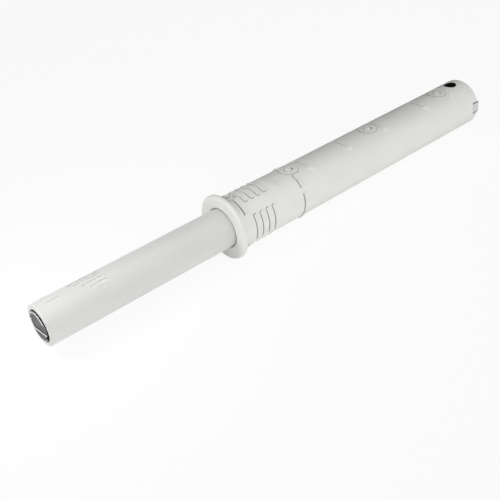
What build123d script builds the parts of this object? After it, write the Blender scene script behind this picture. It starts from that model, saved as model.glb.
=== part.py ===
# Drill-in touch latch with a long-travel plunger and a magnetic tip.
# The latch axis is Y. The plunger points to -Y and +Z is the marked side.
# The origin is on the axis, in the rear face of the collar, which seats on the panel.
# Angles round the axis are in degrees from +Z towards +X.
from build123d import *
from math import atan2, cos, degrees, radians, sin, sqrt, tan
import os

# Housing tube
BARREL_D = 10.0             # drilled hole that the latch fits
COLLAR_D = 12.4
COLLAR_T = 0.8
COLLAR_FRONT_ROUND = 0.45
COLLAR_SEAT_ROUND = 0.1
COLLAR_ROOT_ROUND = 0.25    # a little more than the barbs' height, so a plate seats flat
REAR_RIM_ROUND = 0.3
MOUTH_ROUND = 0.35
HOUSING_WALL = 0.9          # round the wide rear bore
NECK_LENGTH = 21.0          # close-fitting guide bore behind the seat
DETAIL_WALL = 0.2           # wall under the root of a raised detail
BARB_SUNK = 0.4             # how far a barb runs into the barrel

# Barbs that grip the drilled hole
BARB_HEIGHT = 0.17
BARB_LENGTH = 1.3
BARB_CREST = 0.12
BARB_PITCH = 1.46
BARB_COUNT = 4
BARB_FIRST = 3.27
BARB_GROUPS = 4
BARB_HALF_ARC = 29.0
BARB_CORNER = 0.2
BARB_MOAT_WIDTH = 0.13
BARB_MOAT_DEPTH = 0.15
BARB_MOAT_LENGTH = 0.55     # back along the barb's two ends

# Longer step barbs, each with a narrow slot along its steep face
STEP_HEIGHT = 0.18
STEP_CORNER = 0.4
STEP_SLOT_WIDTH = 0.18
STEP_SLOT_DEPTH = 0.3
NEAR_STEP_AT = 1.77
NEAR_STEP_ARC = (11.0, 54.0)
FAR_STEP_AT = 15.07
FAR_STEP_ARCS = ((25.0, 59.0), (71.0, 155.0))

# Small pocket behind the collar
POCKET_WIDTH = 1.5
POCKET_START = 1.22
POCKET_LENGTH = 1.6
POCKET_DEPTH = 0.35
POCKET_ROUND = 0.5

# Flattened strip along the top, with its gate spots and cross lines
STRIP_START = 9.22
STRIP_HALF_ANGLE = 38.0
STRIP_CROWN_R = 6.5
STRIP_RUNOUT = 2.0          # over this length the strip sinks in from the full round
ISLAND_R = 2.3              # full round left this far from the top hole's centre
ISLAND_SLOPE = 20.0
LINE_PLACES = (19.02, 29.37, 39.77, 52.27)
LINE_WIDTH = 0.3
LINE_HEIGHT = 0.12
GATE_FIRST = 15.92
GATE_COUNT = 3
GATE_TO_HOLE = 4.6          # from the last gate spot to the top hole
GATE_PAD_D = 3.9
GATE_PAD_HEIGHT = 0.1
GATE_DIMPLE_D = 1.9
GATE_DIMPLE_DEPTH = 0.25    # below the pad
GATE_NUB_D = 1.3
GATE_NUB_SUNK = 0.05        # below the full round of the barrel
GATE_NUB_ROUND = 0.12
TOP_HOLE_D = 2.6
TOP_HOLE_FROM_REAR = 3.3

# End plug and its side keys
PLUG_LENGTH = 4.3
PLUG_REAR_INSET = 0.4
PLUG_RADIAL_FIT = 0.04
PLUG_CHAMFER = 0.4
PLUG_DISH_D = 5.6
PLUG_DISH_DEPTH = 0.9
NOTCH_WIDTH = 2.4
NOTCH_DEPTH = 1.65
KEY_GAP = 0.1
KEY_PROUD = 0.3
KEY_CHAMFER = 0.15

# Plunger tube
PLUNGER_D = 7.4
STROKE = 37.0
TIP_SUNK = 0.2              # from the collar's face to the fully pressed plunger's rim
SLIDE_FIT = 0.08            # radial, plunger in the neck
TIP_ROUND = 0.2
TIP_WALL = 0.95
SOCKET_DEPTH = 5.0
SOCKET_CHAMFER = 0.2
WEB_T = 1.2
FRONT_BORE_D = 5.0
REAR_BORE_D = 5.9
REAR_BORE_LENGTH = 14.0     # ahead of the flange
STOP_GAP = 0.3
FLANGE_LENGTH = 3.0
FLANGE_FIT = 0.1            # radial, flange in the wide bore
FLANGE_CHAMFER = 0.3
END_GAP = 1.1               # between the fully pressed flange and the end plug

# Adjusting marks engraved in the top of the plunger
MARK_WIDTH = 0.5
MARK_DEPTH = 0.2
SCALE_FROM_TIP = 12.2       # to the ends of the scale's marks
SCALE_SHORTEST = 2.0
SCALE_GROWTH = 1.0
SCALE_COUNT = 5
SCALE_LAST_ANGLE = 44.0
SCALE_ANGLE_PITCH = 14.3
POINTER_FROM_TIP = 2.1
POINTER_LENGTH = 2.0
POINTER_ANGLE = 11.0
CROSS_MARK_FROM_TIP = 2.2
CROSS_MARK_ARC = (-27.0, -7.0)

# Magnetic tip
CUP_FIT = 0.1               # radial, cup in the socket
CUP_WALL = 0.13
CUP_BASE = 0.3
CUP_PROUD = 0.1             # out of the plunger's rim
POLE_FIT = 0.05             # radial, pole plates and magnet in the cup
POLE_PROUD = 0.15           # out of the cup
MAGNET_T = 2.0
MAGNET_RECESS = 0.22        # behind the pole plates' faces
MAGNET_GAP = 0.03
MAGNET_TURN = -5.0          # of the magnet's flats about the axis

# Track rod with the heart-shaped latching track
ROD_D = 4.0
ROD_NOSE_D = 2.6
ROD_NOSE_LEAD = 1.1         # ahead of the latch ring
ROD_NOSE_CLEAR = 0.7        # behind the latch ring
ROD_CHAMFER = 0.4
ROD_TAIL_D = 3.0
ROD_TAIL_LENGTH = 3.1
ROD_TAIL_FIT = 0.04
TRACK_FLOOR_R = 1.35
TRACK_ANGLE_GAP = 5.5       # between the tooth's side and the track's wall
OVERTRAVEL_GAP = 0.35
CATCH_ANGLE = 38.0
CATCH_DEPTH = 1.7
CATCH_ANGLE_GAP = 1.5
RETURN_ANGLE = 80.0         # the ring's full turn
RETURN_LANE_LENGTH = 4.5
RETURN_HELIX_LENGTH = 5.0

# Latch ring, carrier, bush, washer and spring
RING_OD = 5.1
RING_ID = 4.2
RING_LENGTH = 2.2
RING_AXIAL_GAP = 0.15
TOOTH_TIP_R = 1.5
TOOTH_HALF_ANGLE = 11.0
TOOTH_LENGTH = 0.9
CARRIER_FIT = 0.05
CARRIER_SLEEVE_FIT = 0.1
CARRIER_BODY_LENGTH = 3.0
ROD_RUNNING_FIT = 0.08
FRONT_BUSH_LENGTH = 2.55
SEAT_GAP = 0.05
WASHER_T = 0.4
SPRING_OD = 5.6
SPRING_WIRE_D = 0.5
SPRING_COILS = 16
SPRING_END_GAP = 0.05

# Worked out from the sizes above
BARREL_R = BARREL_D / 2
WIDE_BORE_R = BARREL_R - HOUSING_WALL
PLUNGER_R = PLUNGER_D / 2
NECK_R = PLUNGER_R + SLIDE_FIT
TIP_Y = TIP_SUNK - COLLAR_T - STROKE
SCALE_END = TIP_Y + SCALE_FROM_TIP
SOCKET_R = PLUNGER_R - TIP_WALL
SOCKET_FLOOR = TIP_Y + SOCKET_DEPTH
CUP_R = SOCKET_R - CUP_FIT
CUP_FRONT = TIP_Y - CUP_PROUD
CUP_BORE_R = CUP_R - CUP_WALL
CUP_FLOOR = SOCKET_FLOOR - CUP_BASE
POLE_R = CUP_BORE_R - POLE_FIT
POLE_FRONT = CUP_FRONT - POLE_PROUD
FLANGE_START = NECK_LENGTH + STOP_GAP
FLANGE_END = FLANGE_START + FLANGE_LENGTH
PLUG_FRONT = FLANGE_END + STROKE + END_GAP
BARREL_LENGTH = PLUG_FRONT + PLUG_LENGTH + PLUG_REAR_INSET
TOP_HOLE_AT = BARREL_LENGTH - TOP_HOLE_FROM_REAR
GATE_PITCH = (TOP_HOLE_AT - GATE_TO_HOLE - GATE_FIRST) / (GATE_COUNT - 1)
REAR_BORE_START = FLANGE_START - REAR_BORE_LENGTH
BUSH_END = REAR_BORE_START + FRONT_BUSH_LENGTH
RING_START = BUSH_END + RING_AXIAL_GAP
ROD_R = ROD_D / 2
ROD_NOSE_START = RING_START - ROD_NOSE_LEAD
ROD_NOSE_END = RING_START + RING_LENGTH + ROD_NOSE_CLEAR
TOOTH_START = RING_START + (RING_LENGTH - TOOTH_LENGTH) / 2
TRACK_HALF_ANGLE = TOOTH_HALF_ANGLE + TRACK_ANGLE_GAP
TRACK_END = TOOTH_START + STROKE + TOOTH_LENGTH + OVERTRAVEL_GAP
OVERTRAVEL_START = TOOTH_START + STROKE - OVERTRAVEL_GAP
STRIP_HALF_WIDTH = BARREL_R * sin(radians(STRIP_HALF_ANGLE))
STRIP_CROWN_DROP = (sqrt(STRIP_CROWN_R ** 2 - STRIP_HALF_WIDTH ** 2)
                    - BARREL_R * cos(radians(STRIP_HALF_ANGLE)))
STRIP_TOP = STRIP_CROWN_R - STRIP_CROWN_DROP
DETAIL_ROOT_R = WIDE_BORE_R + DETAIL_WALL
CARRIER_START = RING_START + RING_LENGTH + RING_AXIAL_GAP
CARRIER_END = CARRIER_START + CARRIER_BODY_LENGTH
WASHER_END = CARRIER_END + SEAT_GAP + WASHER_T


def turned(points, start=0.0, arc=360.0):
    """Revolves a (radius, Y) outline about the axis, from one angle round by an arc."""
    face = make_face(Polyline(*points, close=True))
    return Rot(0, start - 90, 0) * revolve(face, Axis.Y, arc)


def tube(outer_r, inner_r, start, end):
    """A plain ring or sleeve between two places on the axis."""
    return turned([(inner_r, start), (outer_r, start), (outer_r, end), (inner_r, end)])


def rod(radius, start, end):
    """A plain round bar between two places on the axis."""
    return turned([(0, start), (radius, start), (radius, end), (0, end)])


def sector(inner_r, outer_r, start, end, middle, half_angle):
    """A stretch of a sleeve that covers only part of the round."""
    points = [(inner_r, start), (outer_r, start), (outer_r, end), (inner_r, end)]
    return turned(points, middle - half_angle, 2 * half_angle)


def upright(radius, y, low, high):
    """A vertical round bar that stands on the axis plane."""
    return Pos(0, y, (low + high) / 2) * Cylinder(radius, high - low)


def edges_round(solid, radius, y):
    """The circular edges of one radius at one place on the axis."""
    return [edge for edge in solid.edges().filter_by(GeomType.CIRCLE)
            if abs(edge.radius - radius) < 1e-4 and abs(edge.center().Y - y) < 1e-4]


def front_corners(solid, front):
    """The straight edges at the two ends of a turned solid's front face."""
    return [edge for edge in solid.edges().filter_by(GeomType.LINE)
            if abs(edge.center().Y - front) < 1e-4]


def barb(at, height, corner, middle, half_angle):
    """One saw-tooth barb. Its steep face looks at the collar and its back slopes away."""
    root = BARREL_R - BARB_SUNK
    crest = BARREL_R + height
    points = [(root, at), (crest, at), (crest, at + BARB_CREST), (BARREL_R, at + BARB_LENGTH),
              (root, at + BARB_LENGTH)]
    tooth = turned(points, middle - half_angle, 2 * half_angle)
    return fillet(front_corners(tooth, at), corner)


def barb_moat(at, middle):
    """Cutter for the narrow moat along a barb's steep face and round its two corners."""
    half_angle = BARB_HALF_ARC + degrees(BARB_MOAT_WIDTH / BARREL_R)
    front = at - BARB_MOAT_WIDTH
    block = sector(BARREL_R - BARB_MOAT_DEPTH, BARREL_D, front, at + BARB_MOAT_LENGTH, middle, half_angle)
    return fillet(front_corners(block, front), BARB_CORNER + BARB_MOAT_WIDTH)


def strip_cutter():
    """Removes the strip above its crown, sinking in from the front, up to the top hole's island."""
    length = TOP_HOLE_AT - STRIP_START
    block = Pos(0, STRIP_START + length / 2, BARREL_R) * Box(BARREL_D, length, BARREL_R)
    crown = rod(STRIP_CROWN_R, -length, length)
    runout_angle = degrees(atan2(BARREL_R - STRIP_TOP, STRIP_RUNOUT))
    sunk = Pos(0, STRIP_START + STRIP_RUNOUT, -STRIP_CROWN_DROP)
    block -= sunk * Pos(0, length, 0) * crown
    block -= sunk * Rot(-runout_angle, 0, 0) * crown
    island_foot = ISLAND_R + BARREL_R / tan(radians(ISLAND_SLOPE))
    island = Pos(0, TOP_HOLE_AT, BARREL_R / 2) * Cone(island_foot, ISLAND_R, BARREL_R)
    return block - island


def crown_layer(height, start, end):
    """Everything under the strip's crown raised by a height, and inside the barrel's round."""
    lifted = Pos(0, 0, -STRIP_CROWN_DROP) * rod(STRIP_CROWN_R + height, start, end)
    return lifted & rod(BARREL_R, start, end)


def cross_line(place):
    """A fine raised line across the strip."""
    line = crown_layer(LINE_HEIGHT, place, place + LINE_WIDTH)
    line &= Pos(0, place, BARREL_R) * Box(2 * STRIP_HALF_WIDTH, 2 * LINE_WIDTH, BARREL_D)
    return line - rod(DETAIL_ROOT_R, place - LINE_WIDTH, place + 2 * LINE_WIDTH)


def with_gate_spot(body, place):
    """Adds a round pad with the stub of a moulding gate in a dimple."""
    pad = upright(GATE_PAD_D / 2, place, DETAIL_ROOT_R, BARREL_D)
    body += pad & crown_layer(GATE_PAD_HEIGHT, place - GATE_PAD_D, place + GATE_PAD_D)
    dimple_floor = STRIP_TOP + GATE_PAD_HEIGHT - GATE_DIMPLE_DEPTH
    body -= upright(GATE_DIMPLE_D / 2, place, dimple_floor, BARREL_D)
    nub = upright(GATE_NUB_D / 2, place, DETAIL_ROOT_R, BARREL_R - GATE_NUB_SUNK)
    return body + fillet(nub.edges().group_by(Axis.Z)[-1], GATE_NUB_ROUND)


def pocket_cutter():
    """A shallow pocket behind the collar, round at its far end."""
    floor = BARREL_R - POCKET_DEPTH
    block = Pos(0, POCKET_START + POCKET_LENGTH / 2, floor + BARREL_R / 2)
    block = block * Box(POCKET_WIDTH, POCKET_LENGTH, BARREL_R)
    return fillet(block.edges().filter_by(Axis.Z).group_by(Axis.Y)[-1], POCKET_ROUND)


def housing():
    """Collar, barrel, stepped bore, barbs, strip details, top hole and key notches."""
    body = turned([(NECK_R, -COLLAR_T), (COLLAR_D / 2, -COLLAR_T), (COLLAR_D / 2, 0), (BARREL_R, 0),
                   (BARREL_R, BARREL_LENGTH), (WIDE_BORE_R, BARREL_LENGTH),
                   (WIDE_BORE_R, NECK_LENGTH), (NECK_R, NECK_LENGTH)])
    body = fillet(edges_round(body, COLLAR_D / 2, -COLLAR_T), COLLAR_FRONT_ROUND)
    body = fillet(edges_round(body, COLLAR_D / 2, 0), COLLAR_SEAT_ROUND)
    body = fillet(edges_round(body, BARREL_R, 0), COLLAR_ROOT_ROUND)
    body = fillet(edges_round(body, BARREL_R, BARREL_LENGTH), REAR_RIM_ROUND)
    body = fillet(edges_round(body, NECK_R, -COLLAR_T), MOUTH_ROUND)
    body -= strip_cutter()
    for place in LINE_PLACES:
        body += cross_line(place)
    for index in range(GATE_COUNT):
        body = with_gate_spot(body, GATE_FIRST + index * GATE_PITCH)
    for group in range(BARB_GROUPS):
        middle = group * 360 / BARB_GROUPS
        for index in range(BARB_COUNT):
            at = BARB_FIRST + index * BARB_PITCH
            body -= barb_moat(at, middle)
            body += barb(at, BARB_HEIGHT, BARB_CORNER, middle, BARB_HALF_ARC)
    near_first, near_last = NEAR_STEP_ARC
    steps = [(NEAR_STEP_AT, near_first, near_last), (NEAR_STEP_AT, 180 - near_last, 180 - near_first)]
    steps += [(FAR_STEP_AT, *arc) for arc in FAR_STEP_ARCS]
    for at, low, high in steps:
        half_angle = (high - low) / 2
        slot_front = at - STEP_SLOT_WIDTH
        for middle in ((low + high) / 2, -(low + high) / 2):
            body += barb(at, STEP_HEIGHT, STEP_CORNER, middle, half_angle)
            body -= sector(BARREL_R - STEP_SLOT_DEPTH, BARREL_D, slot_front, at, middle, half_angle)
    body -= pocket_cutter()
    body -= upright(TOP_HOLE_D / 2, TOP_HOLE_AT, 0, BARREL_D)
    for side in (-1, 1):
        notch = Pos(side * BARREL_R, BARREL_LENGTH, 0) * Box(BARREL_R, 2 * NOTCH_DEPTH, NOTCH_WIDTH)
        body -= notch
    return body


def end_plug():
    """Plug with a socket for the rod's tail, a cross bore under the top hole, and two keys."""
    radius = WIDE_BORE_R - PLUG_RADIAL_FIT
    rear = BARREL_LENGTH - PLUG_REAR_INSET
    body = rod(radius, PLUG_FRONT, rear)
    body = chamfer(edges_round(body, radius, PLUG_FRONT), PLUG_CHAMFER)
    body -= rod(PLUG_DISH_D / 2, rear - PLUG_DISH_DEPTH, rear)
    key_front = BARREL_LENGTH - NOTCH_DEPTH + KEY_GAP
    key_rear = BARREL_LENGTH + KEY_PROUD
    key_length = key_rear - key_front
    inner = PLUG_DISH_D / 2
    for side in (-1, 1):
        key = Pos(side * (inner + BARREL_R) / 2, (key_front + key_rear) / 2, 0)
        key = key * Box(BARREL_R - inner, key_length, NOTCH_WIDTH - 2 * KEY_GAP)
        key &= rod(BARREL_R, key_front, key_rear)
        body += chamfer(key.faces().sort_by(Axis.Y)[-1].edges(), KEY_CHAMFER)
    body -= rod(ROD_TAIL_D / 2 + ROD_TAIL_FIT, PLUG_FRONT, PLUG_FRONT + ROD_TAIL_LENGTH)
    body -= upright(TOP_HOLE_D / 2, TOP_HOLE_AT, ROD_TAIL_D / 2, BARREL_R)
    return body


def plunger():
    """Tube with the magnet's socket, a web, a stepped bore and a stop flange at its rear end."""
    body = turned([(0, SOCKET_FLOOR), (SOCKET_R, SOCKET_FLOOR), (SOCKET_R, TIP_Y),
                   (PLUNGER_R, TIP_Y), (PLUNGER_R, FLANGE_START),
                   (WIDE_BORE_R - FLANGE_FIT, FLANGE_START), (WIDE_BORE_R - FLANGE_FIT, FLANGE_END),
                   (REAR_BORE_D / 2, FLANGE_END), (REAR_BORE_D / 2, REAR_BORE_START),
                   (FRONT_BORE_D / 2, REAR_BORE_START), (FRONT_BORE_D / 2, SOCKET_FLOOR + WEB_T),
                   (0, SOCKET_FLOOR + WEB_T)])
    body = fillet(edges_round(body, PLUNGER_R, TIP_Y), TIP_ROUND)
    body = chamfer(edges_round(body, SOCKET_R, TIP_Y), SOCKET_CHAMFER)
    body = chamfer(edges_round(body, WIDE_BORE_R - FLANGE_FIT, FLANGE_END), FLANGE_CHAMFER)
    for cutter in adjusting_marks():
        body -= cutter
    return body


def adjusting_marks():
    """Cutters for the stepped scale, the pointer and the short cross mark."""
    floor = PLUNGER_R - MARK_DEPTH
    half_width = MARK_WIDTH / 2
    half_angle = degrees(half_width / PLUNGER_R)
    cutters = []
    for index in range(SCALE_COUNT):
        length = SCALE_SHORTEST + index * SCALE_GROWTH
        angle = SCALE_LAST_ANGLE - index * SCALE_ANGLE_PITCH
        cutters.append(sector(floor, PLUNGER_D, SCALE_END - length, SCALE_END, angle, half_angle))
    pointer = TIP_Y + POINTER_FROM_TIP
    cutters.append(sector(floor, PLUNGER_D, pointer, pointer + POINTER_LENGTH, POINTER_ANGLE, half_angle))
    cross = TIP_Y + CROSS_MARK_FROM_TIP
    first, last = CROSS_MARK_ARC
    cutters.append(sector(floor, PLUNGER_D, cross - half_width, cross + half_width,
                          (first + last) / 2, (last - first) / 2))
    return cutters


def magnet_cup():
    """Thin steel cup that holds the pole plates and the magnet."""
    return turned([(0, SOCKET_FLOOR), (CUP_R, SOCKET_FLOOR), (CUP_R, CUP_FRONT), (CUP_BORE_R, CUP_FRONT),
                   (CUP_BORE_R, CUP_FLOOR), (0, CUP_FLOOR)])


def cup_slice(front, low, high):
    """The part of the cup's filling between two heights, turned with the magnet."""
    length = CUP_FLOOR - front
    keep = Pos(0, front + length / 2, (low + high) / 2) * Box(2 * POLE_R, length, high - low)
    return Rot(0, MAGNET_TURN, 0) * (keep & rod(POLE_R, front, CUP_FLOOR))


def pole_plates():
    """Two D-shaped steel plates on the magnet's flat sides."""
    return [cup_slice(POLE_FRONT, MAGNET_T / 2, POLE_R), cup_slice(POLE_FRONT, -POLE_R, -MAGNET_T / 2)]


def tip_magnet():
    """Flat magnet between the pole plates, set back from their faces."""
    half = MAGNET_T / 2 - MAGNET_GAP
    return cup_slice(POLE_FRONT + MAGNET_RECESS, -half, half)


def track_groove(first_angle, last_angle, start, end):
    """A stretch of track, in angles from the rod's underside to the tooth's middle."""
    middle = 180 + (first_angle + last_angle) / 2
    half_angle = (last_angle - first_angle) / 2 + TRACK_HALF_ANGLE
    return sector(TRACK_FLOOR_R, ROD_D, start, end, middle, half_angle)


def return_helix(start, end):
    """The slanting groove from the return lane back into the entry lane."""
    lane = sector(TRACK_FLOOR_R, ROD_D, start, end, 180, TRACK_HALF_ANGLE)
    face = lane.faces().sort_by(Axis.Y)[0]
    return Solid.extrude_linear_with_rotation(face, (0, start, 0), (0, end - start, 0), RETURN_ANGLE)


def track_rod():
    """Guide rod with the latching track: entry lane, overtravel, catch and return lane."""
    body = turned([(0, ROD_NOSE_START), (ROD_NOSE_D / 2, ROD_NOSE_START), (ROD_NOSE_D / 2, ROD_NOSE_END),
                   (ROD_R, ROD_NOSE_END), (ROD_R, PLUG_FRONT), (ROD_TAIL_D / 2, PLUG_FRONT),
                   (ROD_TAIL_D / 2, PLUG_FRONT + ROD_TAIL_LENGTH), (0, PLUG_FRONT + ROD_TAIL_LENGTH)])
    body = chamfer(edges_round(body, ROD_NOSE_D / 2, ROD_NOSE_START), ROD_CHAMFER)
    body -= track_groove(0, 0, ROD_NOSE_END - 1, TRACK_END)
    body -= track_groove(0, RETURN_ANGLE, OVERTRAVEL_START, TRACK_END)
    catch_half = TOOTH_HALF_ANGLE + CATCH_ANGLE_GAP
    body -= sector(TRACK_FLOOR_R, ROD_D, OVERTRAVEL_START - CATCH_DEPTH, TRACK_END,
                   180 + CATCH_ANGLE, catch_half)
    lane_start = OVERTRAVEL_START - RETURN_LANE_LENGTH
    body -= track_groove(RETURN_ANGLE, RETURN_ANGLE, lane_start, TRACK_END)
    body -= return_helix(lane_start - RETURN_HELIX_LENGTH, lane_start)
    return body


def latch_ring():
    """Ring with one inward tooth that follows the track."""
    ring = tube(RING_OD / 2, RING_ID / 2, RING_START, RING_START + RING_LENGTH)
    tooth_root = (RING_OD + RING_ID) / 4
    tooth = sector(TOOTH_TIP_R, tooth_root, TOOTH_START, TOOTH_START + TOOTH_LENGTH, 180, TOOTH_HALF_ANGLE)
    return ring + tooth


def latch_carrier():
    """Sleeve round the latch ring, with a guide bore for the rod behind it."""
    outer = REAR_BORE_D / 2 - CARRIER_FIT
    sleeve_bore = RING_OD / 2 + CARRIER_SLEEVE_FIT
    rod_bore = ROD_R + ROD_RUNNING_FIT
    return turned([(sleeve_bore, BUSH_END), (outer, BUSH_END), (outer, CARRIER_END),
                   (rod_bore, CARRIER_END), (rod_bore, CARRIER_START), (sleeve_bore, CARRIER_START)])


def front_bush():
    """Short guide bush that closes the carrier in front of the ring."""
    return tube(REAR_BORE_D / 2 - CARRIER_FIT, ROD_R + ROD_RUNNING_FIT, REAR_BORE_START, BUSH_END)


def spring_washer():
    """Flat steel washer between the carrier and the spring."""
    return tube(SPRING_OD / 2, ROD_R + 2 * ROD_RUNNING_FIT, CARRIER_END + SEAT_GAP, WASHER_END)


def main_spring():
    """Open coil spring round the rod, between the washer and the end plug."""
    wire_r = SPRING_WIRE_D / 2
    start = WASHER_END + SPRING_END_GAP + wire_r
    end = PLUG_FRONT - SPRING_END_GAP - wire_r
    length = end - start
    radius = SPRING_OD / 2 - wire_r
    coil = Helix(length / SPRING_COILS, length, radius, center=(0, start, 0), direction=(0, 1, 0))
    section = Plane(origin=coil @ 0, z_dir=coil % 0) * Circle(wire_r)
    return sweep(section, path=coil, is_frenet=True)


def main():
    upper, lower = pole_plates()
    parts = {
        "housing": housing(),
        "end_plug": end_plug(),
        "plunger": plunger(),
        "magnet_cup": magnet_cup(),
        "pole_plate_upper": upper,
        "pole_plate_lower": lower,
        "tip_magnet": tip_magnet(),
        "track_rod": track_rod(),
        "latch_ring": latch_ring(),
        "latch_carrier": latch_carrier(),
        "front_bush": front_bush(),
        "spring_washer": spring_washer(),
        "main_spring": main_spring(),
    }
    os.makedirs("parts", exist_ok=True)
    for name, shape in parts.items():
        shape.label = name
        export_step(shape, f"parts/{name}.step")


main()
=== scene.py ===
from math import cos, radians, sin

import bpy
from bpy.props import FloatProperty, FloatVectorProperty, IntProperty, PointerProperty
from mathutils import Matrix, Vector


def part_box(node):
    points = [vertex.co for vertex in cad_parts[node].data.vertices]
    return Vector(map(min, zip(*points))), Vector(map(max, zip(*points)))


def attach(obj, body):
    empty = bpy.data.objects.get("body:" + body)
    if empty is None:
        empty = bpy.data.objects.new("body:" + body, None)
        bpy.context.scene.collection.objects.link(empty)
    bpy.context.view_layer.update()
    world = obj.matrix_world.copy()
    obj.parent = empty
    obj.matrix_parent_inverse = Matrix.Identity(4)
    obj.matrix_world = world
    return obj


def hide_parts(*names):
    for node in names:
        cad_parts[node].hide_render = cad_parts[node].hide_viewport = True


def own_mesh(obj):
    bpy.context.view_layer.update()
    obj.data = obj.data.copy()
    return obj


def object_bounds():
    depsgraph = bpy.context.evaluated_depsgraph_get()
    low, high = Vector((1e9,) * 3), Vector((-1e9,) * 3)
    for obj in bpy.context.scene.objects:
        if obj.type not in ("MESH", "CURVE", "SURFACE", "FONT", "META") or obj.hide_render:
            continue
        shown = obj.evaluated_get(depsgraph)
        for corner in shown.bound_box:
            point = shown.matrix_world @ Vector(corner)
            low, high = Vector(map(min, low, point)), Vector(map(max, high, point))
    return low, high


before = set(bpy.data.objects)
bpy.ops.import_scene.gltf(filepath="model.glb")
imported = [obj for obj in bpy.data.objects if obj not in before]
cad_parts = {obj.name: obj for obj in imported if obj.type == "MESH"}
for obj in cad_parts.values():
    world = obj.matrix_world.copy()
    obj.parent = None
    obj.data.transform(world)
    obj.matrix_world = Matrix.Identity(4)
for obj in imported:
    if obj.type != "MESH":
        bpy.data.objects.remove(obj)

bl_info = {
    "name": "Touch latch looks",
    "version": (1, 0, 0),
    "blender": (4, 5, 0),
    "location": "3D View > Sidebar > Touch latch",
    "description": "Finishes, spring, floor, lights and camera for a drill-in touch latch",
    "category": "Object",
}

CAD_BOX = [list(corner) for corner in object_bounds()]
MM = 0.001


def piece_box(node):
    """The lowest and highest corner of one piece, in millimetres."""
    return [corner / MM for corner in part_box(node)]


# Places that the finishes follow, in millimetres

# The plunger's tip, with the cup, the pole plates and the magnet between them
TIP_Y = piece_box("plunger")[0].y
PLUNGER_R = 3.7
CUP_FRONT = piece_box("magnet_cup")[0].y
CUP_R = piece_box("magnet_cup")[1].x
CUP_BORE_R = CUP_R - 0.13
SOCKET_R = CUP_R + 0.1
POLE_FRONT = piece_box("pole_plate_lower")[0].y
POLE_R = CUP_BORE_R - 0.05
MAGNET_HALF = 1.0
MAGNET_TURN = radians(5.0)

# The barrel, and the flattened strip along its top
REAR_Y = piece_box("housing")[1].y
BARREL_R = 5.0
STRIP_HALF_ANGLE = radians(38.0)
FAIRING_WIDTH = 1.6
FAIRING_DEPTH = 0.07
FAIRING_START = (9.2, 11.2)
FAIRING_END = (61.0, 62.5)

# What lies on the strip: cross lines with their sink marks, the pocket, gate spots, the top hole
LINE_PLACES = (19.02, 29.37, 39.77, 52.27)
LINE_SHIFT = 0.08
LINE_END = 1.5
LINE_FADE = 0.6
SINK_AT = (2.4, 0.45)
SINK_R = 0.95
SINK_HEIGHT = 0.08
POCKET_MIDDLE = 2.02
POCKET_HALF_WIDTH = 0.75
POCKET_HALF_LENGTH = 0.8
GATE_PLACES = (15.92, 37.56, 59.2)
GATE_PAD_R = 1.95
GATE_DIMPLE_R = 0.95
TOP_HOLE_AT = REAR_Y - 3.3
TOP_HOLE_R = 1.3

# The end plug's key
PLUG_R = 4.06
KEY_HALF_WIDTH = 1.1
KEY_FRONT = REAR_Y - 1.55

# How much painted shade the fine lines and slots take, how much painted dark reflection the cup's
# lower side takes, and how much painted light pales the plunger's marks
PAD_LINE_SHADE = 0.35
CROSS_LINE_SHADE = 0.4
POCKET_SHADE = 0.32
SLOT_SHARE = 0.85
MARK_SHARE = 0.85
CUP_SHADE = 0.85

# How near in millimetres the walls of a slot are for its painted shade, and the colour of the
# painted shade inside gaps and holes
SLOT_REACH = 0.28
DEEP_SHADE = (0.012, 0.012, 0.012)

# The spring: sides of its wire, and the pitch of its closed turns in wire diameters
WIRE_SIDES = 12
CLOSED_PITCH = 1.04

# The stage, in metres but for the sensor
FLOOR_HALF_SIZE = 1.5
AIM = (0, 0.01, 0)
TIP_LAMP_PLACE = (-0.012, -0.06, 0.048)
TIP_LAMP_SIZE = 0.03
OVERHEAD_LAMP_PLACE = (0.02, 0.03, 0.148)
OVERHEAD_LAMP_SIZE = 0.1
CAMERA_PLACE = (0.10150, -0.06890, 0.07111)
CAMERA_RIGHT = (0.64335, 0.75529, -0.12506)
CAMERA_FORWARD = (-0.68647, 0.49683, -0.53094)
SENSOR_WIDTH_MM = 36
CLIP_START = 0.005
WHITE = (1, 1, 1, 1)


# Node trees

class Value:
    """A socket in a node tree. Sums and products of values add Math nodes."""

    def __init__(self, nodes, socket):
        self.nodes = nodes
        self.socket = socket

    def math(self, operation, *others):
        return self.nodes.add("ShaderNodeMath", {"operation": operation}, [self, *others])

    def __add__(self, other):
        return self.math("ADD", other)

    def __sub__(self, other):
        return self.math("SUBTRACT", other)

    def __mul__(self, other):
        return self.math("MULTIPLY", other)

    def __truediv__(self, other):
        return self.math("DIVIDE", other)

    def __rsub__(self, other):
        return self.nodes.add("ShaderNodeMath", {"operation": "SUBTRACT"}, [other, self])

    __radd__ = __add__
    __rmul__ = __mul__

    def absolute(self):
        return self.math("ABSOLUTE")

    def power(self, exponent):
        return self.math("POWER", exponent)

    def lowest(self, other):
        return self.math("MINIMUM", other)

    def highest(self, other):
        return self.math("MAXIMUM", other)

    def step(self, low, high, first=0.0, last=1.0):
        """Goes smoothly from one number to another as the value passes from low to high."""
        settings = {"interpolation_type": "SMOOTHSTEP"}
        return self.nodes.add("ShaderNodeMapRange", settings, [self, low, high, first, last])

    def over(self, limit, soft=0.02):
        """1 where the value is above a limit, and 0 below it."""
        return self.step(limit - soft, limit + soft)

    def under(self, limit, soft=0.02):
        """1 where the value is below a limit, and 0 above it."""
        return self.step(limit - soft, limit + soft, 1.0, 0.0)

    def line(self, core, edge, shade):
        """The given shade where the value is closer to 0 than the core, and 0 past the edge."""
        return self.absolute().step(core, edge, shade, 0.0)


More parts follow.
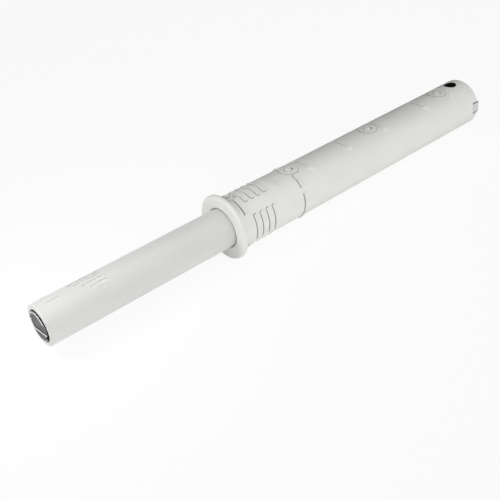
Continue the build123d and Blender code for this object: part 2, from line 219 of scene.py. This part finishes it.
class Nodes:
    """Fills a node tree."""

    def __init__(self, tree):
        self.tree = tree

    def add(self, kind, settings=None, inputs=(), output=0):
        """Adds any node. Settings come first, then the inputs in order or by socket name."""
        node = self.tree.nodes.new(kind)
        for name, setting in (settings or {}).items():
            setattr(node, name, setting)
        pairs = inputs.items() if isinstance(inputs, dict) else enumerate(inputs)
        for key, given in pairs:
            self.join(given, node.inputs[key])
        return Value(self, node.outputs[output])

    def join(self, given, socket):
        """Links a value to a socket, or sets a number, colour or material on it."""
        if isinstance(given, Value):
            self.tree.links.new(given.socket, socket)
        else:
            socket.default_value = given


class Finish(Nodes):
    """A material for one of the latch's pieces, with one Principled shader."""

    def __init__(self, name, colour, roughness, metallic=0.0, **constants):
        self.material = bpy.data.materials.new(name)
        self.material.use_nodes = True
        super().__init__(self.material.node_tree)
        self.shader = self.tree.nodes["Principled BSDF"]
        self.colour = (*colour, 1.0)
        self.set("Base Color", self.colour)
        self.set("Roughness", roughness)
        self.set("Metallic", metallic)
        for socket, number in constants.items():
            self.set(socket.replace("_", " "), number)

    def set(self, name, given):
        self.join(given, self.shader.inputs[name])

    def place(self):
        """The point's place in the latch's own frame, in metres."""
        return self.add("ShaderNodeTexCoord", output="Object")

    def axes(self):
        """The same place in millimetres, as three values."""
        parts = self.add("ShaderNodeSeparateXYZ", None, [self.place()]).socket.node
        return [Value(self, socket) / MM for socket in parts.outputs]

    def from_axis(self, y=None):
        """Distance in millimetres from the latch axis, or from an upright line that crosses it."""
        along_x, along_y, along_z = self.axes()
        other = along_z if y is None else along_y - y
        return (along_x * along_x + other * other).power(0.5)

    def noise(self, per_mm, detail=3.0, stretch=(1, 1, 1)):
        """Fractal noise from 0 to 1, given in cells a millimetre."""
        place = self.add("ShaderNodeMapping", None, {"Vector": self.place(), "Scale": stretch})
        inputs = {"Vector": place, "Scale": per_mm / MM, "Detail": detail}
        return self.add("ShaderNodeTexNoise", None, inputs)

    def blend(self, amount, first, second):
        """A colour between two others."""
        node = self.tree.nodes.new("ShaderNodeMix")
        node.data_type = "RGBA"
        self.join(amount, node.inputs["Factor"])
        for name, colour in (("A", first), ("B", second)):
            socket = [s for s in node.inputs if s.name == name and s.type == "RGBA"][0]
            self.join(colour if isinstance(colour, Value) else (*colour[:3], 1.0), socket)
        return Value(self, [s for s in node.outputs if s.type == "RGBA"][0])

    def tinted(self, amount, factor):
        """The finish's own colour, towards the same colour times a factor."""
        other = [channel * factor for channel in self.colour[:3]]
        return self.blend(amount, self.colour, other)

    def open_sky(self, reach_mm):
        """1 where nothing of the latch is near the surface, and towards 0 in slots and holes."""
        inputs = {"Distance": reach_mm * MM}
        return self.add("ShaderNodeAmbientOcclusion", {"samples": 12}, inputs, "AO")

    def relief(self, height, depth_mm=1.0):
        """A bump from a height, which is counted in the given depth."""
        inputs = {"Height": height, "Distance": depth_mm * MM, "Strength": 1.0}
        self.set("Normal", self.add("ShaderNodeBump", None, inputs, "Normal"))


def dress(node, finish):
    """Gives a carried-over CAD piece its finish."""
    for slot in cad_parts[node].material_slots:
        slot.material = finish.material


# Sizes and colours

class LatchFinishes(bpy.types.PropertyGroup):
    housing: FloatVectorProperty(
        name="Housing plastic", description="Colour of the housing",
        default=(0.81, 0.81, 0.78), subtype="COLOR", min=0, max=1)
    plunger: FloatVectorProperty(
        name="Plunger plastic", description="Colour of the plunger",
        default=(0.675, 0.675, 0.66), subtype="COLOR", min=0, max=1)
    plug: FloatVectorProperty(
        name="Plug plastic", description="Colour of the end plug, seen at its keys",
        default=(0.66, 0.66, 0.69), subtype="COLOR", min=0, max=1)
    carrier: FloatVectorProperty(
        name="Inner plastic", description="Colour of the carrier, the bush and the track rod",
        default=(0.62, 0.62, 0.60), subtype="COLOR", min=0, max=1)
    bright: FloatVectorProperty(
        name="Bright steel", description="Colour of the latch ring and the washer",
        default=(0.62, 0.62, 0.62), subtype="COLOR", min=0, max=1)
    # The same colour is also the painted highlight on the pole plates' edges
    cup: FloatVectorProperty(
        name="Cup plating", description="Colour of the magnet's cup and of the plates' bright edges",
        default=(0.93, 0.93, 0.93), subtype="COLOR", min=0, max=1)
    pole: FloatVectorProperty(
        name="Pole steel", description="Colour of the two pole plates",
        default=(0.135, 0.13, 0.123), subtype="COLOR", min=0, max=1)
    magnet: FloatVectorProperty(
        name="Magnet", description="Colour of the bar magnet's face",
        default=(0.13, 0.124, 0.118), subtype="COLOR", min=0, max=1)
    spring: FloatVectorProperty(
        name="Spring steel", description="Colour of the drawn wire",
        default=(0.45, 0.45, 0.46), subtype="COLOR", min=0, max=1)
    # Painted shade: the colour that the housing's slots and crevices are darkened towards
    crevice_shade: FloatVectorProperty(
        name="Crevices", description="Colour at the bottom of the housing's slots",
        default=(0.42, 0.405, 0.38), subtype="COLOR", min=0, max=1)
    # Painted light: the paler colour that lessens the shade in the plunger's engraved marks
    mark_lightening: FloatVectorProperty(
        name="Marks", description="Colour at the bottom of the plunger's engraved marks",
        default=(0.82, 0.82, 0.80), subtype="COLOR", min=0, max=1)
    # Painted highlight: the paler colour laid on the small mounds by the cross lines
    mound_highlight: FloatVectorProperty(
        name="Sink marks", description="Colour of the small bright mounds on the housing",
        default=(0.93, 0.93, 0.90), subtype="COLOR", min=0, max=1)


class LatchSpring(bpy.types.PropertyGroup):
    radius: FloatProperty(
        name="Coil radius", description="From the axis to the middle of the wire",
        default=2.55 * MM, unit="LENGTH", precision=5)
    wire: FloatProperty(
        name="Wire diameter", description="Diameter of the spring's wire",
        default=0.5 * MM, unit="LENGTH", precision=5)
    turns: FloatProperty(
        name="Turns", description="All the spring's turns, its closed ends among them",
        default=19.0, min=4)
    closed: FloatProperty(
        name="Closed turns", description="Turns at each end that lie against each other",
        default=1.25, min=0)
    steps: IntProperty(
        name="Steps a turn", description="Straight stretches in one turn of wire",
        default=40, min=8)


class LatchStage(bpy.types.PropertyGroup):
    floor: FloatVectorProperty(
        name="Floor colour", description="Colour of the pale floor",
        default=(0.86, 0.86, 0.86), subtype="COLOR", min=0, max=1)
    shadow: FloatProperty(
        name="Shadow", description="How much of the floor's shading the camera sees",
        default=0.12, min=0, max=1, subtype="FACTOR")
    glow: FloatProperty(
        name="Table glow", description="Strength of the soft light that comes up through the floor",
        default=0.168, min=0)
    near_side: FloatProperty(
        name="Near side", description="Strength of the broad soft light from +X",
        default=1.66, min=0)
    far_side: FloatProperty(
        name="Far side", description="Strength of the broad soft light from -X",
        default=0.26, min=0)
    tip_lamp: FloatProperty(
        name="Tip lamp", description="Power of the lamp above and in front of the plunger's tip",
        default=0.027, min=0, unit="POWER", precision=4)
    overhead_lamp: FloatProperty(
        name="Overhead lamp", description="Power of the lamp high above the latch",
        default=0.02, min=0, unit="POWER", precision=4)
    lens: FloatProperty(
        name="Lens", description="Focal length in millimetres",
        default=56.87, min=10)


# Finishes

def moulded_plastic(name, colour, roughness, gloss):
    """Satin moulded plastic with a faint mottle, fine mould texture and a few flow marks.

    Gives the finish, its clean colour and the height of its texture in millimetres."""
    finish = Finish(name, colour, roughness, Specular_IOR_Level=gloss)
    mottle = finish.noise(per_mm=0.35, detail=2.0, stretch=(1, 0.35, 1))
    fine = finish.noise(per_mm=9.0)
    flow = finish.noise(per_mm=1.4, detail=2.0, stretch=(1, 0.12, 1))
    finish.set("Roughness", roughness - 0.05 + fine * 0.06 + flow.step(0.4, 0.65) * 0.05)
    clean = finish.tinted(mottle.step(0.35, 0.7), 0.975)
    return finish, clean, fine * 0.0042 + flow * 0.0018


def housing_plastic(props):
    """The housing's plastic, with painted shade in its slots, a painted highlight on its small
    mounds, and its strip's edges softened.
    """
    finish, clean, texture = moulded_plastic("housing_plastic", props.housing, 0.45, 0.0)
    # Painted shade: darker towards the bottom of slots and crevices, by how shut in they are
    slots = finish.open_sky(SLOT_REACH).step(0.3, 0.75, SLOT_SHARE, 0.0)
    # The painted shade is taken off the near half of each gate dimple
    for place in GATE_PLACES:
        dimple = finish.from_axis(place).under(GATE_DIMPLE_R + 0.05)
        slots = slots * (1.0 - dimple * finish.axes()[1].under(place + 0.2))
    sinks = sink_marks(finish)
    # Painted highlight on the small mounds
    lightened = finish.blend(sinks, clean, props.mound_highlight)
    slot_shaded = finish.blend(slots, lightened, props.crevice_shade)
    finish.set("Base Color", finish.blend(housing_painted_shade(finish), slot_shaded, DEEP_SHADE))
    finish.relief(texture + strip_fairing(finish) + sinks * SINK_HEIGHT)
    return finish


def strip_fairing(finish):
    """Height in millimetres that softens the long edges of the flattened strip."""
    x, y, z = finish.axes()
    angle = finish.add("ShaderNodeMath", {"operation": "ARCTAN2"}, [x, z]).absolute()
    away = (angle - STRIP_HALF_ANGLE).absolute() * (BARREL_R / FAIRING_WIDTH)
    share = away.lowest(1.0)
    ends = y.step(*FAIRING_START) * y.step(*FAIRING_END, 1.0, 0.0)
    return (share * 2.0 - share * share) * ends * FAIRING_DEPTH


def sink_marks(finish):
    """1 in the middle of the small mound at each end of a cross line, and 0 outside; the mound gets
    a bump and a painted highlight.
    """
    x, y, z = finish.axes()
    across = x.absolute() - SINK_AT[0]
    total = 0.0
    for place in LINE_PLACES:
        along = y - (place + SINK_AT[1])
        mound = (1.0 - (across * across + along * along) / SINK_R ** 2).highest(0.0)
        total = total + mound * mound
    return total * z.over(0.0)


def housing_painted_shade(finish):
    """How dark the painted shade makes the plastic in the top hole and in the strip's fine lines.

    The lines run round the gate pads, across the strip and round the pocket."""
    x, y, z = finish.axes()
    upper = z.over(0.0)
    # Painted shade: the inside of the top hole is made dark
    dark = finish.from_axis(TOP_HOLE_AT).under(TOP_HOLE_R + 0.03) * upper
    for place in GATE_PLACES:
        # Painted shade along the outline of each gate pad, across the strip and round the pocket
        line = (finish.from_axis(place) - GATE_PAD_R).line(0.02, 0.07, PAD_LINE_SHADE)
        dark = dark.highest(line * upper)
    on_strip = x.absolute().under(LINE_END, LINE_FADE) * upper
    for place in LINE_PLACES:
        line = (y - place + LINE_SHIFT).line(0.02, 0.1, CROSS_LINE_SHADE)
        dark = dark.highest(line * on_strip)
    along = (y - POCKET_MIDDLE).absolute() - POCKET_HALF_LENGTH
    outline = along.highest(x.absolute() - POCKET_HALF_WIDTH).line(0.04, 0.14, POCKET_SHADE)
    return dark.highest(outline * upper)


def plunger_plastic(props):
    """The plunger's glossier plastic, with painted light that pales its marks and painted shade in
    the gap round the cup.
    """
    finish, clean, texture = moulded_plastic("plunger_plastic", props.plunger, 0.3, 0.45)
    y, z = finish.axes()[1:]
    radius = finish.from_axis()
    # Painted light in the engraved marks lessens their shade; painted shade darkens the gap round
    # the cup
    marks = radius.under(PLUNGER_R - 0.08, 0.04) * z.over(0.0) * y.over(TIP_Y + 0.5)
    gap = radius.under(SOCKET_R + 0.12) * y.over(TIP_Y + 0.04)
    lightened = finish.blend(marks * MARK_SHARE, clean, props.mark_lightening)
    finish.set("Base Color", finish.blend(gap, lightened, DEEP_SHADE))
    finish.relief(texture)
    return finish


def plug_plastic(props):
    """Cooler white plastic, with painted shade in the bore under the top hole and in the gap above
    the key.
    """
    finish = Finish("plug_plastic", props.plug, 0.4, Specular_IOR_Level=0.5)
    fine = finish.noise(per_mm=8.0)
    x, y, z = finish.axes()
    clean = finish.tinted(finish.noise(per_mm=0.6, detail=2.0).step(0.3, 0.7), 0.96)
    # Painted shade in the bore and in a band along the key's upper edge
    bore = finish.from_axis(TOP_HOLE_AT).under(TOP_HOLE_R + 0.03) * z.over(0.0)
    key_gap_shade = z.absolute().over(KEY_HALF_WIDTH - 0.12, 0.03)
    key_gap_shade = key_gap_shade * x.absolute().over(PLUG_R) * y.over(KEY_FRONT - 0.05)
    finish.set("Base Color", finish.blend(bore.highest(key_gap_shade), clean, DEEP_SHADE))
    finish.set("Roughness", 0.36 + fine * 0.08)
    finish.relief(fine, 0.005)
    return finish


def carrier_plastic(props):
    """Plainer plastic for the parts inside."""
    finish = Finish("carrier_plastic", props.carrier, 0.45)
    fine = finish.noise(per_mm=7.0)
    mottle = finish.noise(per_mm=0.8, detail=2.0)
    finish.set("Base Color", finish.tinted(mottle.step(0.3, 0.7), 0.94))
    finish.set("Roughness", 0.4 + fine * 0.1)
    finish.relief(fine, 0.006)
    return finish


def bright_steel(props):
    """Drawn and tumbled steel."""
    finish = Finish("bright_steel", props.bright, 0.28, 1.0)
    fine = finish.noise(per_mm=12.0, detail=4.0)
    finish.set("Base Color", finish.tinted(fine.step(0.3, 0.75), 0.85))
    finish.set("Roughness", 0.22 + fine * 0.16)
    finish.relief(fine, 0.004)
    return finish


def cup_steel(props):
    """Bright plated steel, with painted shade where it stands in the gaps on both of its sides and a
    painted dark reflection on its lower side.
    """
    finish = Finish("cup_steel", props.cup, 0.25, 1.0)
    fine = finish.noise(per_mm=12.0, detail=4.0)
    x, y, z = finish.axes()
    radius = finish.from_axis()
    # Painted shade in the gaps outside and inside the cup; painted dark reflection on its lower side
    outside = radius.over(CUP_R - 0.06)
    inside = radius.under(CUP_BORE_R + 0.02) * y.over(CUP_FRONT + 0.02)
    shaded = x.over(1.6, 0.5) * z.under(0.6, 0.5) * CUP_SHADE
    clean = finish.tinted(fine.step(0.3, 0.75), 0.9)
    dark = outside.highest(inside).highest(shaded)
    finish.set("Base Color", finish.blend(dark, clean, DEEP_SHADE))
    finish.set("Roughness", 0.2 + fine * 0.14)
    return finish


def ground_steel(name, colour, props):
    """Ground faces with straight scratches one way and painted shade at the rim.

    The lower plate's long edge and the upper plate's rim get a painted highlight in the cup's
    colour."""
    finish = Finish(name, colour, 0.36, 1.0)
    scratches = finish.noise(per_mm=2.6, stretch=(0.1, 1, 1))
    fine = finish.noise(per_mm=14.0, stretch=(0.06, 1, 1))
    patches = finish.noise(per_mm=0.9)
    x, y, z = finish.axes()
    worn = patches.step(0.4, 0.6) * 0.25 + scratches.step(0.42, 0.58) * 0.75
    face = finish.tinted(worn, 0.12)
    rim = finish.from_axis().over(POLE_R - 0.03)
    # Painted highlight on the upper plate's rim and the lower plate's long edge; painted shade on
    # the rest of the rim
    lit_rim = rim * z.over(MAGNET_HALF) * y.under(POLE_FRONT + 0.11)
    across = z * cos(MAGNET_TURN) - x * sin(MAGNET_TURN)
    edge = across.over(-MAGNET_HALF - 0.05) * across.under(-MAGNET_HALF + 0.02)
    lit = (edge * y.under(POLE_FRONT + 0.14)).highest(lit_rim)
    dark = finish.blend(rim, face, DEEP_SHADE)
    finish.set("Base Color", finish.blend(lit, dark, props.cup))
    finish.set("Metallic", 1.0 - lit)
    finish.set("Roughness", 0.3 + fine * 0.16)
    finish.relief(scratches * 0.6 + fine * 0.4, 0.006)
    return finish


def spring_wire(props):
    """Drawn wire."""
    finish = Finish("spring_wire", props.spring, 0.3, 1.0)
    fine = finish.noise(per_mm=10.0)
    finish.set("Base Color", finish.tinted(fine.step(0.35, 0.7), 0.82))
    finish.set("Roughness", 0.24 + fine * 0.14)
    return finish


# Spring

def spring_tree(material):
    """A coil about the latch axis with closed ends, as a Geometry Nodes tree."""
    tree = bpy.data.node_groups.new("coil_spring", "GeometryNodeTree")
    tree.interface.new_socket("Geometry", in_out="OUTPUT", socket_type="NodeSocketGeometry")
    kinds = {"Radius": "Float", "Wire": "Float", "Turns": "Float", "Closed": "Float",
             "Start": "Float", "Length": "Float", "Points": "Int"}
    for name, kind in kinds.items():
        tree.interface.new_socket(name, in_out="INPUT", socket_type="NodeSocket" + kind)
    nodes = Nodes(tree)
    given = tree.nodes.new("NodeGroupInput").outputs
    radius, wire, turns, closed, start, length, count = [
        Value(nodes, given[name]) for name in kinds]

    line = nodes.add("GeometryNodeCurvePrimitiveLine")
    points = nodes.add("GeometryNodeResampleCurve", None, {"Curve": line, "Count": count})
    turned = nodes.add("GeometryNodeSplineParameter", output="Factor") * turns
    angle = turned * radians(360)

    closed_pitch = wire * CLOSED_PITCH
    free_turns = turns - closed * 2.0
    free_length = length - closed_pitch * closed * 2.0
    first = turned.lowest(closed) * closed_pitch
    middle = (turned - closed).highest(0.0).lowest(free_turns) * (free_length / free_turns)
    last = (turned - closed - free_turns).highest(0.0) * closed_pitch
    height = (start + first) + (middle + last)

    place = nodes.add("ShaderNodeCombineXYZ", None, [
        radius * angle.math("SINE"), height, radius * angle.math("COSINE")])
    coil = nodes.add("GeometryNodeSetPosition", None, {"Geometry": points, "Position": place})
    ring = nodes.add("GeometryNodeCurvePrimitiveCircle", None,
                     {"Resolution": WIRE_SIDES, "Radius": wire / 2.0})
    solid = nodes.add("GeometryNodeCurveToMesh", None,
                      {"Curve": coil, "Profile Curve": ring, "Fill Caps": True})
    smooth = nodes.add("GeometryNodeSetShadeSmooth", None, {"Geometry": solid})
    real = nodes.add("GeometryNodeRealizeInstances", None, {"Geometry": smooth})
    dressed = nodes.add("GeometryNodeSetMaterial", None, {"Geometry": real, "Material": material})
    nodes.join(dressed, tree.nodes.new("NodeGroupOutput").inputs[0])
    return tree


def made_by_nodes(name, tree, inputs):
    """Runs a Geometry Nodes tree and keeps its result as a plain mesh at the origin."""
    holder = bpy.data.objects.new(name + "_maker", bpy.data.meshes.new(name + "_maker"))
    bpy.context.scene.collection.objects.link(holder)
    modifier = holder.modifiers.new("nodes", "NODES")
    modifier.node_group = tree
    for item in tree.interface.items_tree:
        if item.in_out == "INPUT" and item.name in inputs:
            modifier[item.identifier] = inputs[item.name]
    evaluated = holder.evaluated_get(bpy.context.evaluated_depsgraph_get())
    mesh = bpy.data.meshes.new_from_object(evaluated)
    holder.modifiers.remove(modifier)
    bpy.data.objects.remove(holder)
    mesh.name = name
    piece = bpy.data.objects.new(name, mesh)
    bpy.context.scene.collection.objects.link(piece)
    return piece


# Stage

def white_for_the_camera(nodes, white, shaded, amount):
    """Mixes plain white over a shader, only where the camera, gloss or glass looks at it.

    White is the kind of node that gives it: Emission on a piece, Background in the world."""
    path = nodes.tree.nodes.new("ShaderNodeLightPath").outputs
    seen = Value(nodes, path["Is Camera Ray"])
    for name in ("Is Glossy Ray", "Is Transmission Ray"):
        seen = seen.highest(Value(nodes, path[name]))
    plain = nodes.add(white, None, {"Color": WHITE})
    return nodes.add("ShaderNodeMixShader", None, [seen * amount, Value(nodes, shaded), plain])


def make_world(near_side, far_side):
    """Broad soft light that comes from the two sides and fades towards the top and the ends."""
    world = bpy.data.worlds.new("studio")
    bpy.context.scene.world = world
    world.use_nodes = True
    nodes = Nodes(world.node_tree)
    sky = nodes.tree.nodes["Background"]
    direction = nodes.add("ShaderNodeTexCoord", output="Generated")
    across = nodes.add("ShaderNodeSeparateXYZ", None, [direction], "X")
    nodes.join(WHITE, sky.inputs["Color"])
    nodes.join((across * near_side).highest(across * -far_side), sky.inputs["Strength"])
    seen = white_for_the_camera(nodes, "ShaderNodeBackground", sky.outputs[0], 1.0)
    nodes.join(seen, nodes.tree.nodes["World Output"].inputs["Surface"])


def make_floor(colour, shadow, glow, height):
    """A wide pale floor under the latch, lit softly from below as a shooting table is."""
    half = FLOOR_HALF_SIZE
    mesh = bpy.data.meshes.new("floor")
    corners = [(x * half, y * half, height) for x, y in ((-1, -1), (1, -1), (1, 1), (-1, 1))]
    mesh.from_pydata(corners, [], [(0, 1, 2, 3)])
    floor = bpy.data.objects.new("floor", mesh)
    bpy.context.scene.collection.objects.link(floor)
    finish = Finish("floor", colour, 0.8, Specular_IOR_Level=0.1, Emission_Strength=glow)
    finish.set("Emission Color", WHITE)
    shaded = finish.shader.outputs[0]
    seen = white_for_the_camera(finish, "ShaderNodeEmission", shaded, 1 - shadow)
    finish.join(seen, finish.tree.nodes["Material Output"].inputs["Surface"])
    mesh.materials.append(finish.material)


def make_light(name, place, size, watts):
    """A square soft light that points at the middle of the latch."""
    lamp = bpy.data.lights.new(name, "AREA")
    lamp.size = size
    lamp.energy = watts
    light = bpy.data.objects.new(name, lamp)
    aim = (Vector(AIM) - Vector(place)).to_track_quat("-Z", "Y")
    light.matrix_world = Matrix.Translation(place) @ aim.to_matrix().to_4x4()
    bpy.context.scene.collection.objects.link(light)


def make_camera(lens):
    """The photograph's viewpoint, in the latch's own frame."""
    right = Vector(CAMERA_RIGHT)
    forward = Vector(CAMERA_FORWARD)
    up = right.cross(forward)
    turn = Matrix((right, up, -forward)).transposed().to_4x4()
    camera_data = bpy.data.cameras.new("camera")
    camera_data.lens = lens
    camera_data.sensor_width = SENSOR_WIDTH_MM
    camera_data.clip_start = CLIP_START
    camera = bpy.data.objects.new("camera", camera_data)
    camera.matrix_world = Matrix.Translation(CAMERA_PLACE) @ turn
    bpy.context.scene.collection.objects.link(camera)
    bpy.context.scene.camera = camera


# Operators

class LATCH_OT_stage(bpy.types.Operator):
    """Makes the floor, the soft light, the two lamps and the camera"""
    bl_idname = "latch.stage"
    bl_label = "Stage"

    def execute(self, context):
        props = context.scene.latch_stage
        context.scene.view_settings.view_transform = "Standard"
        make_world(props.near_side, props.far_side)
        make_floor(props.floor, props.shadow, props.glow, CAD_BOX[0][2])
        make_light("tip", TIP_LAMP_PLACE, TIP_LAMP_SIZE, props.tip_lamp)
        make_light("overhead", OVERHEAD_LAMP_PLACE, OVERHEAD_LAMP_SIZE, props.overhead_lamp)
        make_camera(props.lens)
        return {"FINISHED"}


class LATCH_OT_housing(bpy.types.Operator):
    """Finishes the housing and the end plug"""
    bl_idname = "latch.housing"
    bl_label = "Housing"

    def execute(self, context):
        props = context.scene.latch_finishes
        dress("housing", housing_plastic(props))
        dress("end_plug", plug_plastic(props))
        return {"FINISHED"}


class LATCH_OT_plunger(bpy.types.Operator):
    """Finishes the plunger and its magnetic tip"""
    bl_idname = "latch.plunger"
    bl_label = "Plunger"

    def execute(self, context):
        props = context.scene.latch_finishes
        dress("plunger", plunger_plastic(props))
        dress("magnet_cup", cup_steel(props))
        poles = ground_steel("pole_steel", props.pole, props)
        dress("pole_plate_upper", poles)
        dress("pole_plate_lower", poles)
        dress("tip_magnet", ground_steel("magnet_steel", props.magnet, props))
        return {"FINISHED"}


class LATCH_OT_mechanism(bpy.types.Operator):
    """Finishes the track rod, the latch ring and what carries it"""
    bl_idname = "latch.mechanism"
    bl_label = "Mechanism"

    def execute(self, context):
        props = context.scene.latch_finishes
        inner = carrier_plastic(props)
        for node in ("track_rod", "latch_carrier", "front_bush"):
            dress(node, inner)
        steel = bright_steel(props)
        for node in ("latch_ring", "spring_washer"):
            dress(node, steel)
        return {"FINISHED"}


class LATCH_OT_spring(bpy.types.Operator):
    """Makes the main spring's coil in place of the CAD spring and hangs it on the housing"""
    bl_idname = "latch.spring"
    bl_label = "Spring"

    def execute(self, context):
        props = context.scene.latch_spring
        low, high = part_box("main_spring")
        wire = spring_wire(context.scene.latch_finishes)
        inputs = {"Radius": props.radius, "Wire": props.wire, "Turns": props.turns,
                  "Closed": props.closed, "Start": low.y + props.wire / 2,
                  "Length": high.y - low.y - props.wire,
                  "Points": int(props.turns * props.steps) + 1}
        coil = made_by_nodes("coil", spring_tree(wire.material), inputs)
        if not coil.data.polygons:
            raise RuntimeError("the spring's coil came out empty")
        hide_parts("main_spring")
        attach(coil, "housing")
        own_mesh(coil)
        return {"FINISHED"}


class LATCH_PT_panel(bpy.types.Panel):
    """Lists the latch's operators, sizes and colours"""
    bl_idname = "LATCH_PT_panel"
    bl_label = "Touch latch"
    bl_space_type = "VIEW_3D"
    bl_region_type = "UI"
    bl_category = "Touch latch"

    def draw(self, context):
        for operator in OPERATORS:
            self.layout.operator(operator.bl_idname)
        for props in (context.scene.latch_finishes, context.scene.latch_spring,
                      context.scene.latch_stage):
            for name in props.__annotations__:
                self.layout.prop(props, name)


OPERATORS = (LATCH_OT_stage, LATCH_OT_housing, LATCH_OT_plunger, LATCH_OT_mechanism,
             LATCH_OT_spring)
CLASSES = (LatchFinishes, LatchSpring, LatchStage, *OPERATORS, LATCH_PT_panel)


def register():
    for cls in CLASSES:
        bpy.utils.register_class(cls)
    bpy.types.Scene.latch_finishes = PointerProperty(type=LatchFinishes)
    bpy.types.Scene.latch_spring = PointerProperty(type=LatchSpring)
    bpy.types.Scene.latch_stage = PointerProperty(type=LatchStage)


def unregister():
    del bpy.types.Scene.latch_stage
    del bpy.types.Scene.latch_spring
    del bpy.types.Scene.latch_finishes
    for cls in reversed(CLASSES):
        bpy.utils.unregister_class(cls)


def main():
    register()
    bpy.ops.latch.stage()
    bpy.ops.latch.housing()
    bpy.ops.latch.plunger()
    bpy.ops.latch.mechanism()
    bpy.ops.latch.spring()


if __name__ == "__main__":
    main()
